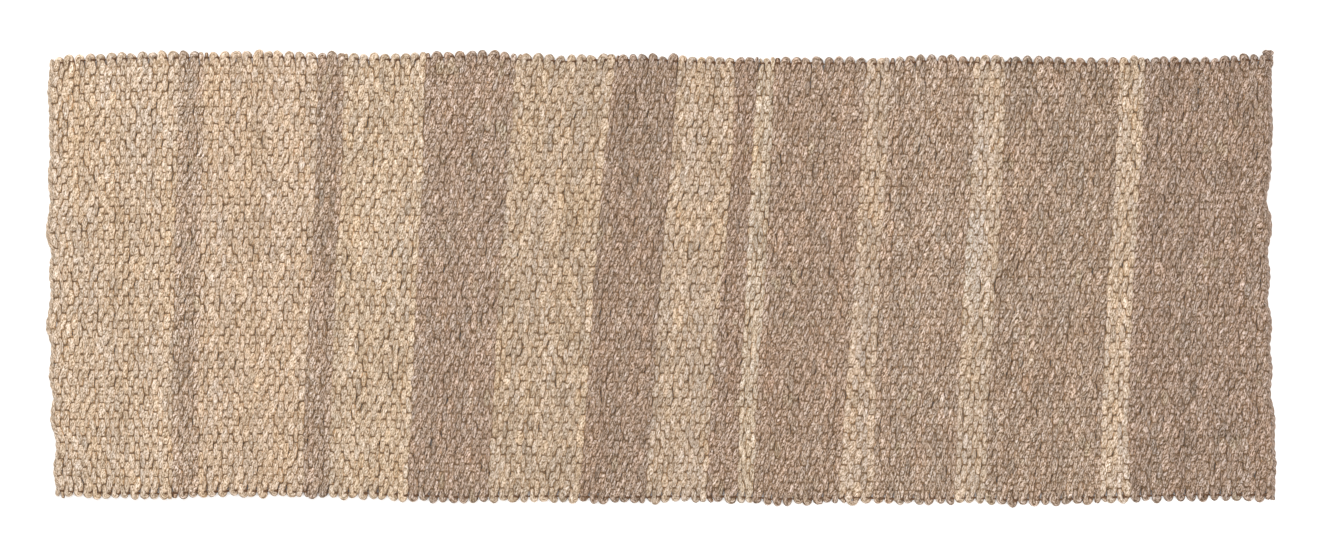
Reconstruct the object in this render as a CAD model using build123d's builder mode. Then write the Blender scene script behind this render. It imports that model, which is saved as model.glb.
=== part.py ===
from build123d import *
import os

# Hand-woven runner rug, weft-faced plain weave, lying flat.
# Frame: millimetres, X along the length, Y across the width, +Z up.
# Origin: centre of the footprint, on the surface that the rug lies on.
#
# How the rug is built: thin warp cords run the whole length.  Thick weft yarns
# go back and forth across the width and lie side by side, touching; each warp
# passes over one weft and under the next, and shows only as a short dash where
# it crosses over.  Each colour stripe is one continuous weft yarn.  At the long
# edges the yarn turns back past a doubled selvedge cord; at the two ends a cord
# closes the weave.

# ---------------------------------------------------------------- dimensions
THICK = 10.0            # rug thickness, underside to top of the weft
WARP_AF = 2.6           # warp cord, across flats
SELV_AF = 4.4           # doubled selvedge cord, across flats
GAP = 0.3               # room round a cord in its tunnel, all sides but the floor
WARP_Z = 5.0            # height of the tunnels' centre line; the cords lie GAP lower
SELV_Y = 372.0          # selvedge cords, distance from the middle
N_WARP = 52             # warp cords between the two selvedge cords
FOLD_GAP = 0.4          # room between the two halves at the fold line
END_CORD_W = 7.0        # end cord, width in plan
END_CORD_Z0 = 0.8       # end cord, lowest
END_CORD_H = 8.4        # end cord, height
LOOP_OUT = 3.0          # how far a turning loop stands out of the long edge
SHIFT_X = -0.85           # centres the footprint on the origin
SHIFT_Y = 0.0

WARP_PITCH = 2 * SELV_Y / (N_WARP + 1)
WARP_YS = [-SELV_Y + WARP_PITCH * (i + 1) for i in range(N_WARP)]

# rows, across the width, at which the stripe boundaries are given
ROWS = [-379.5, -196.3, -4.4, 187.6, 379.5]
# the 17 boundaries between stripes, X at each row
BOUNDS = [
    [-851.6, -852.4, -848.9, -843.7, -841.1],
    [-807.9, -807.1, -805.3, -800.1, -797.5],
    [-625.6, -623.8, -611.6, -602.9, -601.2],
    [-580.2, -575.0, -568.0, -555.8, -553.2],
    [-440.6, -433.6, -425.8, -414.4, -410.1],
    [-300.1, -290.5, -281.8, -264.4, -252.2],
    [-143.1, -129.1, -117.8, -102.1, -81.1],
    [-25.3, -12.2, -0.9, 15.7, 30.5],
    [79.4, 89.9, 107.3, 124.8, 129.5],
    [133.5, 137.9, 150.1, 158.4, 173.6],
    [161.4, 168.6, 184.1, 192.8, 199.8],
    [309.7, 323.7, 339.4, 346.4, 360.3],
    [372.6, 376.0, 380.8, 395.2, 400.5],
    [513.9, 522.1, 529.9, 545.1, 547.1],
    [568.0, 573.2, 587.2, 599.2, 602.9],
    [766.9, 772.2, 779.4, 796.6, 800.1],
    [819.0, 817.8, 826.3, 838.5, 847.2],
]
COLOURS = ["natural", "brown"] * 9
# weft passes in each stripe
PASSES = [24, 5, 21, 5, 16, 16, 18, 13, 12, 5, 4, 17, 5, 16, 6, 21, 5, 25]

# outer line of the two ends, (Y, X)
LEFT_END = [
    (-371, -1055.0), (-339, -1060.1), (-308, -1056.6), (-277, -1056.6),
    (-245, -1064.0), (-214, -1061.0), (-182, -1065.3), (-151, -1065.3),
    (-120, -1065.3), (-88, -1072.3), (-57, -1068.8), (-25, -1065.3),
    (6, -1067.1), (38, -1063.6), (69, -1072.3), (100, -1070.6),
    (132, -1065.3), (163, -1068.8), (195, -1068.8), (226, -1067.1),
    (257, -1067.1), (289, -1067.1), (320, -1070.6), (352, -1067.1),
    (378, -1063.6),
]
RIGHT_END = [
    (-371, 1072.3), (-339, 1074.0), (-308, 1074.0), (-277, 1074.0),
    (-245, 1074.0), (-214, 1068.8), (-182, 1067.1), (-151, 1068.8),
    (-120, 1065.3), (-88, 1067.1), (-57, 1065.3), (-25, 1061.8),
    (6, 1065.3), (38, 1061.8), (69, 1065.3), (100, 1067.1),
    (132, 1060.1), (163, 1063.6), (195, 1067.1), (226, 1067.1),
    (257, 1070.6), (289, 1068.8), (320, 1068.8), (352, 1067.1),
    (378, 1070.6),
]
# base line of the two long edges, (X, Y); the turning loops stand out of it
BACK_EDGE = [
    (-1075, 379.5), (-1050, 380.0), (-992, 386.0), (-922, 389.0),
    (-852, 389.5), (-783, 390.5), (-713, 390.5), (-643, 389.5),
    (-573, 388.5), (-503, 385.0), (-434, 387.5), (-364, 390.5),
    (-294, 389.5), (-224, 384.5), (-154, 383.0), (-85, 385.5),
    (-15, 386.0), (55, 382.5), (125, 381.0), (195, 380.5), (264, 379.5),
    (334, 379.0), (404, 380.0), (474, 383.5), (544, 382.0), (613, 381.0),
    (683, 380.5), (753, 379.5), (823, 379.5), (893, 380.5), (962, 380.5),
    (1032, 385.0), (1080, 385.0),
]
FRONT_EDGE = [
    (-1075, -378.0), (-1040, -379.0), (-992, -382.0), (-922, -383.0),
    (-852, -383.5), (-783, -379.5), (-713, -378.5), (-643, -380.5),
    (-573, -381.5), (-503, -383.0), (-434, -386.5), (-364, -390.0),
    (-294, -387.5), (-224, -388.5), (-154, -388.5), (-85, -390.5),
    (-15, -389.5), (55, -388.0), (125, -389.0), (195, -393.0),
    (264, -392.5), (334, -390.5), (404, -392.5), (474, -392.5),
    (544, -391.0), (613, -395.0), (683, -394.0), (753, -391.0),
    (823, -388.0), (893, -386.5), (962, -386.0), (1032, -386.5),
    (1080, -384.0),
]


# ------------------------------------------------------------------- helpers
def interp(table, t):
    """Straight-line reading of a table of (t, value), extended at its ends."""
    if t <= table[0][0]:
        (a, va), (b, vb) = table[0], table[1]
    elif t >= table[-1][0]:
        (a, va), (b, vb) = table[-2], table[-1]
    else:
        for (a, va), (b, vb) in zip(table, table[1:]):
            if a <= t <= b:
                break
    return va + (vb - va) * (t - a) / (b - a)


def boundary_x(k, y):
    """X of stripe boundary k (0 left end, 18 right end) at height y."""
    if k == 0:
        return interp(LEFT_END, max(-371, min(378, y))) + END_CORD_W
    if k == 18:
        return interp(RIGHT_END, max(-371, min(378, y))) - END_CORD_W
    return interp(list(zip(ROWS, BOUNDS[k - 1])), y)


def corner(k, edge):
    """Where boundary k meets a long edge's base line."""
    y = interp(edge, 0.0)
    for _ in range(20):
        y = interp(edge, boundary_x(k, y))
    return (boundary_x(k, y), y)


def side_points(k, low, high):
    """Boundary k from its front corner to its back corner."""
    if k == 0:
        ys = [y for y, _ in LEFT_END]
    elif k == 18:
        ys = [y for y, _ in RIGHT_END]
    else:
        ys = ROWS
    inner = [(boundary_x(k, y), y) for y in ys if low[1] + 2 < y < high[1] - 2]
    return [low] + inner + [high]


def edge_points(edge, a, b, passes, out, quiet_after=None):
    """Long edge from corner a to corner b, one turning loop per two passes."""
    loops = max(1, round(passes / 2))
    width = (b[0] - a[0]) / loops
    pts = []
    for i in range(loops):
        x0 = a[0] + width * i
        if quiet_after is not None and x0 + width > quiet_after:
            break
        for f, up in ((0.12, 0), (0.32, 1), (0.68, 1), (0.88, 0)):
            x = x0 + width * f
            pts.append((x, interp(edge, x) + out * up))
    return pts


def moved(points, dx=0.0):
    return [(x + dx + SHIFT_X, y + SHIFT_Y) for x, y in points]


def half_shift(stripe):
    """The two halves stand a little apart at the fold line."""
    return -FOLD_GAP / 2 if stripe < 8 else FOLD_GAP / 2


# ---------------------------------------------------------------- weft bands
made = []
for s in range(18):
    a_low, a_high = corner(s, FRONT_EDGE), corner(s, BACK_EDGE)
    b_low, b_high = corner(s + 1, FRONT_EDGE), corner(s + 1, BACK_EDGE)
    left = side_points(s, a_low, a_high)
    right = side_points(s + 1, b_low, b_high)
    if s == 7:
        right = [(x - FOLD_GAP / 2, y) for x, y in right]
    if s == 8:
        left = [(x + FOLD_GAP / 2, y) for x, y in left]
    front = edge_points(FRONT_EDGE, left[0], right[0], PASSES[s], -LOOP_OUT)
    back = edge_points(BACK_EDGE, left[-1], right[-1], PASSES[s], LOOP_OUT,
                       quiet_after=1046 if s == 17 else None)
    outline = moved(front + right + back[::-1] + left[::-1])

    with BuildPart() as band:
        with BuildSketch(Plane.XY):
            with BuildLine():
                Polyline(*outline, close=True)
            make_face()
        extrude(amount=THICK)
        # tunnels that the warp cords run through
        x_start = min(p[0] for p in outline) - 5
        x_len = max(p[0] for p in outline) + 5 - x_start
        with BuildSketch(Plane.YZ.offset(x_start)):
            with Locations(*[(y + SHIFT_Y, WARP_Z) for y in WARP_YS]):
                RegularPolygon(WARP_AF / 2 + GAP, 8, major_radius=False,
                               rotation=22.5)
            with Locations((SELV_Y + SHIFT_Y, WARP_Z),
                           (-SELV_Y + SHIFT_Y, WARP_Z)):
                RegularPolygon(SELV_AF / 2 + GAP, 8, major_radius=False,
                               rotation=22.5)
        extrude(amount=x_len, mode=Mode.SUBTRACT)
    name = "weft_band_%02d_%s" % (s + 1, COLOURS[s])
    band.part.label = name
    made.append((name, band.part))


# ---------------------------------------------------------------- warp cords
def cord_span(y, left_half, reach):
    """Ends of a cord at height y, clear of the fold line and of the ends."""
    fold = [boundary_x(8, y - reach), boundary_x(8, y), boundary_x(8, y + reach)]
    if left_half:
        ends = [boundary_x(0, y - reach), boundary_x(0, y), boundary_x(0, y + reach)]
        return max(ends) + 0.6, min(fold) - FOLD_GAP / 2
    ends = [boundary_x(18, y - reach), boundary_x(18, y), boundary_x(18, y + reach)]
    return max(fold) + FOLD_GAP / 2, min(ends) - 0.6


def build_cords(label, ys, across_flats, left_half):
    """A group of separate straight cords that lie on their tunnels' floor."""
    with BuildPart() as cords:
        for y in ys:
            x0, x1 = cord_span(y, left_half, across_flats / 2)
            with BuildSketch(Plane.YZ.offset(x0 + SHIFT_X)):
                with Locations((y + SHIFT_Y, WARP_Z - GAP)):
                    RegularPolygon(across_flats / 2, 8, major_radius=False,
                                   rotation=22.5)
            extrude(amount=x1 - x0)
    cords.part.label = label
    made.append((label, cords.part))


build_cords("warp_cords_left_half", WARP_YS, WARP_AF, True)
build_cords("warp_cords_right_half", WARP_YS, WARP_AF, False)
build_cords("selvedge_cord_back_left_half", [SELV_Y], SELV_AF, True)
build_cords("selvedge_cord_back_right_half", [SELV_Y], SELV_AF, False)
build_cords("selvedge_cord_front_left_half", [-SELV_Y], SELV_AF, True)
build_cords("selvedge_cord_front_right_half", [-SELV_Y], SELV_AF, False)

# ----------------------------------------------------------------- end cords
for name, k, table, sign in (("end_cord_left", 0, LEFT_END, -1),
                             ("end_cord_right", 18, RIGHT_END, 1)):
    low, high = corner(k, FRONT_EDGE), corner(k, BACK_EDGE)
    inner = side_points(k, low, high)
    outer = [(x + sign * END_CORD_W, y) for x, y in inner]
    with BuildPart() as cord:
        with BuildSketch(Plane.XY.offset(END_CORD_Z0)):
            with BuildLine():
                Polyline(*moved(inner + outer[::-1]), close=True)
            make_face()
        extrude(amount=END_CORD_H)
    cord.part.label = name
    made.append((name, cord.part))

# --------------------------------------------------------------- corner knot
# the free end of the last weft yarn, knotted at the back right-hand corner
knot_y = corner(18, BACK_EDGE)[1]
with BuildPart() as knot:
    with BuildSketch(Plane.XY.offset(1.0)):
        with BuildLine():
            Polyline(*moved([(1050, knot_y), (1070, knot_y), (1072, knot_y + 5),
                             (1069, knot_y + 11), (1062, knot_y + 13),
                             (1055, knot_y + 9), (1050, knot_y + 5)]), close=True)
        make_face()
    extrude(amount=8.0)
knot.part.label = "corner_knot"
made.append(("corner_knot", knot.part))

# -------------------------------------------------------------------- export
os.makedirs("parts", exist_ok=True)
for name, solid in made:
    export_step(solid, "parts/" + name + ".step")

boxes = [solid.bounding_box() for _, solid in made]
print("box X %.2f %.2f  Y %.2f %.2f  Z %.2f %.2f" % (
    min(b.min.X for b in boxes), max(b.max.X for b in boxes),
    min(b.min.Y for b in boxes), max(b.max.Y for b in boxes),
    min(b.min.Z for b in boxes), max(b.max.Z for b in boxes)))
print(len(made), "nodes", "warp pitch %.3f" % WARP_PITCH)
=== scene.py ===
import math
import bpy
import numpy as np
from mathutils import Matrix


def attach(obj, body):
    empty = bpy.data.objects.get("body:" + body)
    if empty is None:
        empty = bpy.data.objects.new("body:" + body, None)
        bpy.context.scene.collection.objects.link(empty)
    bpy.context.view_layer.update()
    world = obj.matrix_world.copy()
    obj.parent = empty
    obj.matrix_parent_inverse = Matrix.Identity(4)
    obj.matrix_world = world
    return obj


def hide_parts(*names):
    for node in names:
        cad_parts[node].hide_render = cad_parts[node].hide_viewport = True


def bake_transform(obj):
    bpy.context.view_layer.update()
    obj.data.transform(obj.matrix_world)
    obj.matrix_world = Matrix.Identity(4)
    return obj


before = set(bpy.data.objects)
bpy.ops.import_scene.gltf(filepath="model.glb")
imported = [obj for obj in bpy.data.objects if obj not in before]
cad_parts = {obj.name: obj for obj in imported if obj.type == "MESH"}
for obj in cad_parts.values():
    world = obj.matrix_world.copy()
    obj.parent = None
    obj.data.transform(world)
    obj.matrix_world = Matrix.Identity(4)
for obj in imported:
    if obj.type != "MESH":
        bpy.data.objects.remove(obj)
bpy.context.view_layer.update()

MM = 0.001
SHIFT_X = -0.85

# ---------------------------------------------------------------------------
# the weave's plan, the same tables as the CAD model, in millimetres
# ---------------------------------------------------------------------------
ROWS = np.array([-379.5, -196.3, -4.4, 187.6, 379.5])
BOUNDS = [
    [-851.6, -852.4, -848.9, -843.7, -841.1],
    [-807.9, -807.1, -805.3, -800.1, -797.5],
    [-625.6, -623.8, -611.6, -602.9, -601.2],
    [-580.2, -575.0, -568.0, -555.8, -553.2],
    [-440.6, -433.6, -425.8, -414.4, -410.1],
    [-300.1, -290.5, -281.8, -264.4, -252.2],
    [-143.1, -129.1, -117.8, -102.1, -81.1],
    [-25.3, -12.2, -0.9, 15.7, 30.5],
    [79.4, 89.9, 107.3, 124.8, 129.5],
    [133.5, 137.9, 150.1, 158.4, 173.6],
    [161.4, 168.6, 184.1, 192.8, 199.8],
    [309.7, 323.7, 339.4, 346.4, 360.3],
    [372.6, 376.0, 380.8, 395.2, 400.5],
    [513.9, 522.1, 529.9, 545.1, 547.1],
    [568.0, 573.2, 587.2, 599.2, 602.9],
    [766.9, 772.2, 779.4, 796.6, 800.1],
    [819.0, 817.8, 826.3, 838.5, 847.2],
]
PASSES = [24, 5, 21, 5, 16, 16, 18, 13, 12, 5, 4, 17, 5, 16, 6, 21, 5, 25]
COLOURS = ["natural", "brown"] * 9
LEFT_END = [
    (-371, -1055.0), (-339, -1060.1), (-308, -1056.6), (-277, -1056.6),
    (-245, -1064.0), (-214, -1061.0), (-182, -1065.3), (-151, -1065.3),
    (-120, -1065.3), (-88, -1072.3), (-57, -1068.8), (-25, -1065.3),
    (6, -1067.1), (38, -1063.6), (69, -1072.3), (100, -1070.6),
    (132, -1065.3), (163, -1068.8), (195, -1068.8), (226, -1067.1),
    (257, -1067.1), (289, -1067.1), (320, -1070.6), (352, -1067.1),
    (378, -1063.6),
]
RIGHT_END = [
    (-371, 1072.3), (-339, 1074.0), (-308, 1074.0), (-277, 1074.0),
    (-245, 1074.0), (-214, 1068.8), (-182, 1067.1), (-151, 1068.8),
    (-120, 1065.3), (-88, 1067.1), (-57, 1065.3), (-25, 1061.8),
    (6, 1065.3), (38, 1061.8), (69, 1065.3), (100, 1067.1),
    (132, 1060.1), (163, 1063.6), (195, 1067.1), (226, 1067.1),
    (257, 1070.6), (289, 1068.8), (320, 1068.8), (352, 1067.1),
    (378, 1070.6),
]
BACK_EDGE = [
    (-1075, 379.5), (-1050, 380.0), (-992, 386.0), (-922, 389.0),
    (-852, 389.5), (-783, 390.5), (-713, 390.5), (-643, 389.5),
    (-573, 388.5), (-503, 385.0), (-434, 387.5), (-364, 390.5),
    (-294, 389.5), (-224, 384.5), (-154, 383.0), (-85, 385.5),
    (-15, 386.0), (55, 382.5), (125, 381.0), (195, 380.5), (264, 379.5),
    (334, 379.0), (404, 380.0), (474, 383.5), (544, 382.0), (613, 381.0),
    (683, 380.5), (753, 379.5), (823, 379.5), (893, 380.5), (962, 380.5),
    (1032, 385.0), (1080, 385.0),
]
FRONT_EDGE = [
    (-1075, -378.0), (-1040, -379.0), (-992, -382.0), (-922, -383.0),
    (-852, -383.5), (-783, -379.5), (-713, -378.5), (-643, -380.5),
    (-573, -381.5), (-503, -383.0), (-434, -386.5), (-364, -390.0),
    (-294, -387.5), (-224, -388.5), (-154, -388.5), (-85, -390.5),
    (-15, -389.5), (55, -388.0), (125, -389.0), (195, -393.0),
    (264, -392.5), (334, -390.5), (404, -392.5), (474, -392.5),
    (544, -391.0), (613, -395.0), (683, -394.0), (753, -391.0),
    (823, -388.0), (893, -386.5), (962, -386.0), (1032, -386.5),
    (1080, -384.0),
]

N_WARP = 54                 # with the two selvedge cords
END_W = 7.0
MID_Z = 4.85                # middle of the cloth
HALF_H = 3.85               # half the weft yarn's height between warps
DIP = 1.45                  # how far the yarn's centre is pushed where a warp crosses
PINCH = 1.45                # how much half its height gives way there
WARP_R = 1.15
WARP_AMP = 1.9              # a warp's rise and fall about the middle
LOOP_IN = 7.6               # selvedge cord, in from the long edge's base line


def smooth_table(table, step=4.0, sigma=14.0):
    """A table of (t, value) as a dense, smoothed line."""
    t = np.array([p[0] for p in table], float)
    v = np.array([p[1] for p in table], float)
    dense = np.arange(t[0] - 60, t[-1] + 60, step)
    line = np.interp(dense, t, v)
    half = int(3 * sigma / step)
    kernel = np.exp(-0.5 * (np.arange(-half, half + 1) * step / sigma) ** 2)
    kernel /= kernel.sum()
    padded_line = np.concatenate([np.full(half, line[0]), line, np.full(half, line[-1])])
    return dense, np.convolve(padded_line, kernel, "valid")


BACK = smooth_table(BACK_EDGE)
FRONT = smooth_table(FRONT_EDGE)
LEFT = smooth_table(LEFT_END, sigma=9.0)
RIGHT = smooth_table(RIGHT_END, sigma=9.0)
LEFT_MEAN = smooth_table(LEFT_END, sigma=110.0)
# the ends' small waves on top of that, every 14 mm from the back edge to the front edge, in millimetres
WAVE_Y = np.arange(376.0, -381.0, -14.0)
LEFT_WAVE = [-2.8, -2.0, -1.4, -1.5, -1.3, -0.9, -1.2, -1.1, -1.6, -1.8, -0.8, 0.3, 1.7, -0.9, -1.9, -1.6, -1.6,
             -0.4, -1.3, -0.8, -1.9, -2.8, -2.2, 0.8, 0.7, -2.6, -2.2, -1.7, -0.5, 0.5, -0.3, -0.5, -1.6, -3.3,
             -1.0, 0.9, 0.5, -0.9, -1.9, -3.7, -2.3, -0.2, 1.0, -2.4, -2.7, -4.4, -2.3, 0.0, 0.2, 0.2, -1.8,
             -1.7, -0.9, -0.4, -2.5]
RIGHT_WAVE = [0.6, -0.7, 0.7, 0.2, -0.5, -0.7, -0.1, 0.0, 0.5, -0.1, 0.9, -0.6, 0.0, 1.3, 1.3, 1.0, -0.5,
              -1.9, -1.3, 2.2, 1.9, 2.9, 1.2, -1.2, -1.0, -0.2, 1.2, 1.2, 1.3, -0.8, -2.8, 0.1, 1.6, 2.2,
              1.0, 0.0, -0.5, -0.1, 1.2, 1.6, -0.2, -1.9, -1.8, 0.5, 0.4, 0.9, -0.2, -0.4, -0.3, 0.7, 2.6,
              1.8, 1.1, 1.7, 1.4]
for line, waves in ((LEFT, LEFT_WAVE), (RIGHT, RIGHT_WAVE)):
    line[1][:] += np.interp(line[0], WAVE_Y[::-1], np.array(waves)[::-1])
RIGHT_MEAN = smooth_table(RIGHT_END, sigma=110.0)


def read(line, t):
    return np.interp(t, line[0], line[1])


SIDES = []
for row in BOUNDS:
    full = [(ROWS[0] - 60, row[0] - 60 * (row[1] - row[0]) / (ROWS[1] - ROWS[0]))]
    full += list(zip(ROWS, row))
    full += [(ROWS[-1] + 60, row[-1] + 60 * (row[-1] - row[-2]) / (ROWS[-1] - ROWS[-2]))]
    SIDES.append(smooth_table(full, sigma=38.0))


def boundary(k, y):
    if k == 0:
        return read(LEFT_MEAN, y) + END_W
    if k == 18:
        return read(RIGHT_MEAN, y) - END_W
    return read(SIDES[k - 1], y)


def end_wave(k, y):
    """How far an end's line leaves its own mean, at y."""
    if k == 0:
        return read(LEFT, y) - read(LEFT_MEAN, y)
    return read(RIGHT, y) - read(RIGHT_MEAN, y)


def y_back(x):
    return read(BACK, x) - LOOP_IN + 1.6


def y_front(x):
    return read(FRONT, x) + LOOP_IN - 1.3


def value_noise(points, scale, seed, octaves=1):
    """Smooth seeded noise in the plane, about -1 to 1."""
    total = np.zeros(len(points))
    gain = 1.0
    for o in range(octaves):
        rng = np.random.default_rng(seed + 101 * o)
        grid = rng.uniform(-1, 1, (257, 257))
        p = points / (scale / 2 ** o) + 57.3
        i = np.floor(p).astype(int)
        f = p - i
        f = f * f * (3 - 2 * f)
        a = grid[i[:, 0] % 257, i[:, 1] % 257]
        b = grid[(i[:, 0] + 1) % 257, i[:, 1] % 257]
        c = grid[i[:, 0] % 257, (i[:, 1] + 1) % 257]
        d = grid[(i[:, 0] + 1) % 257, (i[:, 1] + 1) % 257]
        total += gain * ((a * (1 - f[:, 0]) + b * f[:, 0]) * (1 - f[:, 1])
                         + (c * (1 - f[:, 0]) + d * f[:, 0]) * f[:, 1])
        gain *= 0.5
    return total


def lift(x, y):
    """The cloth doesn't lie dead flat: it rises by up to about 1.5 mm."""
    p = np.stack([x, y], 1)
    n = 0.5 + 0.5 * np.clip(value_noise(p, 210.0, 5) + 0.5 * value_noise(p, 90.0, 6), -1, 1)
    return 1.3 * n


# ---------------------------------------------------------------------------
# yarn tubes
# ---------------------------------------------------------------------------
def srgb(r, g, b):
    c = np.array([r, g, b], float) / 255.0
    return np.where(c <= 0.04045, c / 12.92, ((c + 0.055) / 1.055) ** 2.4)


def tube(centre, half_w, half_h, psi, lobe, sides):
    """Rings round a path that runs level. Gives vertices, quads and the yarn's own coordinates."""
    n = len(centre)
    tangent = np.gradient(centre, axis=0)
    tangent /= np.maximum(np.linalg.norm(tangent, axis=1, keepdims=True), 1e-9)
    side = np.cross(tangent, np.array([0.0, 0.0, 1.0]))
    side /= np.maximum(np.linalg.norm(side, axis=1, keepdims=True), 1e-9)
    up = np.cross(side, tangent)
    step = np.linalg.norm(np.diff(centre, axis=0), axis=1)
    length = np.concatenate([[0.0], np.cumsum(step)])
    theta = np.arange(sides) * 2 * math.pi / sides
    angle = theta[None, :] - psi[:, None]
    radius = 1.0 + lobe[:, None] * np.cos(2 * angle)
    ca, sa = np.cos(theta)[None, :, None], np.sin(theta)[None, :, None]
    points = centre[:, None, :] + radius[:, :, None] * (
        half_w[:, None, None] * ca * side[:, None, :]
        + half_h[:, None, None] * sa * up[:, None, :]
    )
    own = np.stack([4.0 * np.cos(angle), 4.0 * np.sin(angle),
                    np.repeat(length[:, None], sides, 1)], 2)
    ring = np.arange(n - 1)[:, None] * sides
    s0 = np.arange(sides)[None, :]
    s1 = (s0 + 1) % sides
    quads = np.stack([ring + s0, ring + sides + s0, ring + sides + s1, ring + s1], 2).reshape(-1, 4)
    return points, quads, own


def build_mesh(name, points, quads, caps, attributes, bake_uv=None):
    """A mesh from millimetre points, with quads, fans for the caps and point attributes."""
    faces_n = len(quads) + sum(len(c) for c in caps)
    tri = np.array([t for c in caps for t in c], int).reshape(-1, 3)
    loops = np.concatenate([quads.reshape(-1), tri.reshape(-1)])
    starts = np.concatenate([np.arange(len(quads)) * 4,
                             len(quads) * 4 + np.arange(len(tri)) * 3])
    mesh = bpy.data.meshes.new(name)
    mesh.vertices.add(len(points))
    mesh.vertices.foreach_set("co", (points * MM).astype(np.float32).ravel())
    mesh.loops.add(len(loops))
    mesh.loops.foreach_set("vertex_index", loops.astype(np.int32))
    mesh.polygons.add(len(starts))
    mesh.polygons.foreach_set("loop_start", starts.astype(np.int32))
    mesh.update(calc_edges=True)
    mesh.validate()
    mesh.polygons.foreach_set("use_smooth", np.ones(len(mesh.polygons), bool))
    for key, value in attributes.items():
        value = np.asarray(value, np.float32)
        if value.ndim == 1:
            mesh.attributes.new(key, "FLOAT", "POINT").data.foreach_set("value", value)
        elif value.shape[1] == 3:
            mesh.attributes.new(key, "FLOAT_VECTOR", "POINT").data.foreach_set("vector", value.ravel())
        else:
            mesh.attributes.new(key, "FLOAT_COLOR", "POINT").data.foreach_set("color", value.ravel())
    if bake_uv is not None:
        uv = bake_uv(mesh)
        mesh.uv_layers.new(name="OFBake").data.foreach_set("uv", uv.astype(np.float32).ravel())
    mesh.update()
    obj = bpy.data.objects.new(name, mesh)
    bpy.context.scene.collection.objects.link(obj)
    return obj


def plan_uv(mesh):
    """Two plan charts, face and underside, side by side."""
    n = len(mesh.loops)
    vi = np.empty(n, np.int32)
    mesh.loops.foreach_get("vertex_index", vi)
    co = np.empty(len(mesh.vertices) * 3, np.float32)
    mesh.vertices.foreach_get("co", co)
    co = co.reshape(-1, 3)
    normal = np.empty(len(mesh.polygons) * 3, np.float32)
    mesh.polygons.foreach_get("normal", normal)
    total = np.empty(len(mesh.polygons), np.int32)
    mesh.polygons.foreach_get("loop_total", total)
    up_loop = np.repeat(normal.reshape(-1, 3)[:, 2] >= 0, total)
    low, high = co.min(0), co.max(0)
    span = np.maximum(high - low, 1e-6)
    q = (co[vi] - low) / span
    # the longer side runs up the map, and the two charts stand side by side
    long_axis, short_axis = (1, 0) if span[1] >= span[0] else (0, 1)
    a, b = q[:, short_axis], q[:, long_axis]
    u = np.where(up_loop, 0.005 + 0.485 * a, 0.51 + 0.485 * a)
    return np.stack([u, 0.005 + 0.99 * b], 1)


def mix3(a, b, f):
    return a * (1 - f[:, None]) + b * f[:, None]


RNG = np.random.default_rng(20261118)
TOTAL = sum(PASSES)
FLOATS = {
    "high": np.clip(RNG.normal(0, 0.38, (TOTAL, N_WARP)), -0.9, 0.8),
    "wide": np.clip(RNG.normal(1, 0.10, (TOTAL, N_WARP)), 0.76, 1.24),
    "dx": np.clip(RNG.normal(0, 0.50, (TOTAL, N_WARP)), -1.2, 1.2),
    "tilt": np.clip(RNG.normal(0.03, 0.085, (TOTAL, N_WARP)), -0.2, 0.22),
    "dt": np.clip(RNG.normal(0, 0.06, (TOTAL, N_WARP)), -0.14, 0.14),
    "dent": np.clip(RNG.normal(0.93, 0.26, (TOTAL, N_WARP)), 0.25, 1.4),
    "tone": RNG.normal(0, 1, (TOTAL, N_WARP)),
    "hue": RNG.normal(0, 1, (TOTAL, N_WARP)),
}
# here and there a yarn is thin and leaves a small dark gap beside it
THIN = RNG.uniform(0, 1, (TOTAL, N_WARP)) < 0.022
FLOATS["wide"][THIN] *= 0.74
# the line between one pass and the next wanders, in parts of a pass's width
KNOT_Y = np.arange(-420.0, 421.0, 30.0)
BEAT = 0.075 * RNG.normal(0, 1, (TOTAL + 1, 1)) + 0.085 * RNG.normal(0, 1, (TOTAL + 1, len(KNOT_Y)))
BEAT = np.clip(BEAT, -0.24, 0.24)
BEAT[0] = BEAT[-1] = 0
# each warp wanders a little too
WARP_WANDER = RNG.normal(0, 1, (N_WARP, 60))
WARP_WANDER[0] = WARP_WANDER[-1] = 0
PASS_TONE = RNG.normal(0, 1, TOTAL)
PASS_TONE = 0.75 * PASS_TONE + 0.45 * np.roll(PASS_TONE, 1)

# the mean colour of each stripe on the finished rug, left to right
STRIPE_RGB = [
    (200, 175, 150), (184, 160, 139), (200, 174, 149), (173, 149, 129),
    (198, 173, 147), (169, 145, 126), (189, 165, 141), (164, 140, 121),
    (190, 166, 143), (165, 140, 121), (193, 171, 148), (168, 143, 123),
    (191, 167, 145), (173, 149, 129), (191, 168, 146), (169, 145, 125),
    (198, 174, 151), (162, 138, 120),
]
# yarn colour over the cloth's mean colour
GAIN = {"natural": np.array([1.165, 1.235, 1.30]), "brown": np.array([1.235, 1.295, 1.355])}
RINGS = np.array([0.0, 0.11, 0.235, 0.40, 0.60, 0.765, 0.89])   # rings from one warp to the next
SIDES_N = 10


def smoothstep(x):
    x = np.clip(x, 0, 1)
    return x * x * (3 - 2 * x)


def per_float(key, k, t):
    """A value that each float of pass k has, at places t."""
    v = FLOATS[key][k]
    # a float's middle is a warp that it passes over, and the warps that cross over it are its ends
    odd = (k + 1) % 2                       # parity of the warps in the middle of this pass's floats
    m = np.round((t - odd) / 2) * 2 + odd
    edge = (t - m)                          # -1..1 from end to end
    near = np.clip(m, 0, N_WARP - 1).astype(int)
    other = np.clip(m + 2 * np.sign(edge), 0, N_WARP - 1).astype(int)
    f = 0.5 * smoothstep((np.abs(edge) - 0.86) / 0.14)
    return v[near] * (1 - f) + v[other] * f


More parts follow.
